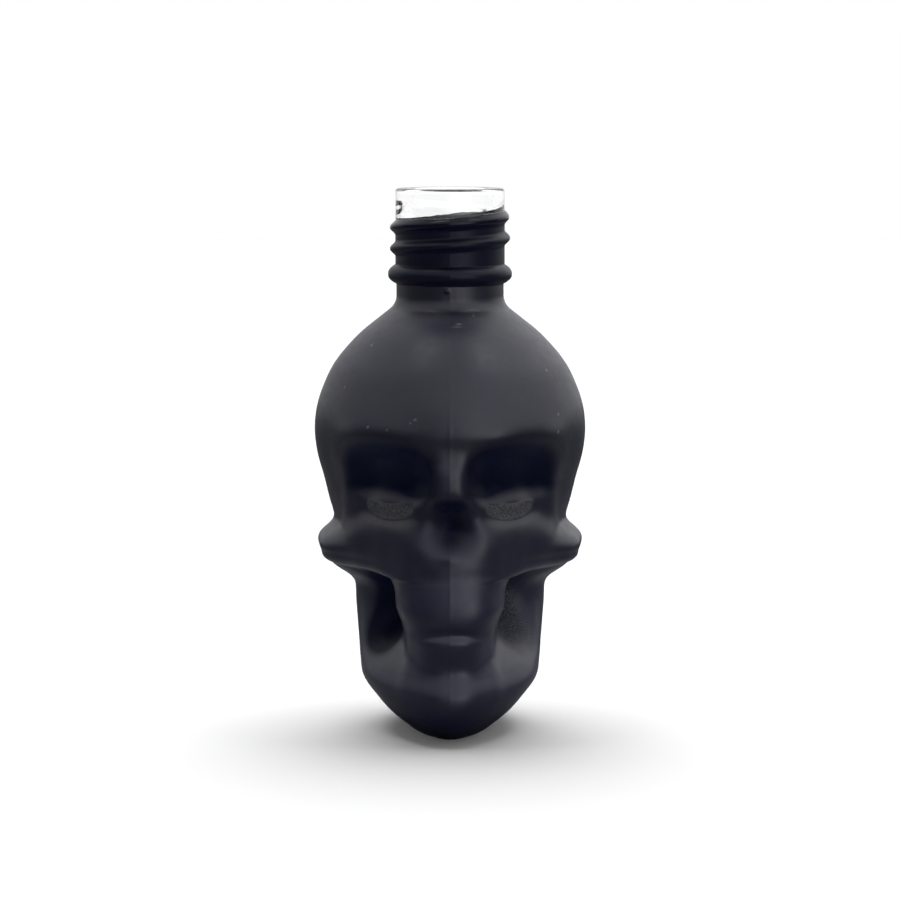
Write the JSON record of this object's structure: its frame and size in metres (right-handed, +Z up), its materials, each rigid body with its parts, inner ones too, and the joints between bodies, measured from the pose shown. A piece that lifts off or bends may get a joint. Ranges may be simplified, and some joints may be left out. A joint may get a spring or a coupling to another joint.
{
  "type": "skull-shaped glass bottle",
  "caption": "Small skull-shaped glass bottle with a screw neck, coated matte black below its clear rim; it stands on a flat ring and holds a liquid.",
  "frame": {"origin": "neck axis at the plane the bottle stands on", "axes": "+Z up along the neck axis, out of the mouth; the face looks along -Y; +X is to the right of someone who looks at the face"},
  "size_m": [0.041, 0.045, 0.0804],
  "materials": {
    "clear_glass": "polished",
    "black_lacquer": "matte sprayed lacquer with a soft-touch sheen"
  },
  "bodies": {
    "root": {"glass_bottle": "clear_glass", "matte_coating": "black_lacquer"}
  },
  "joints": []
}
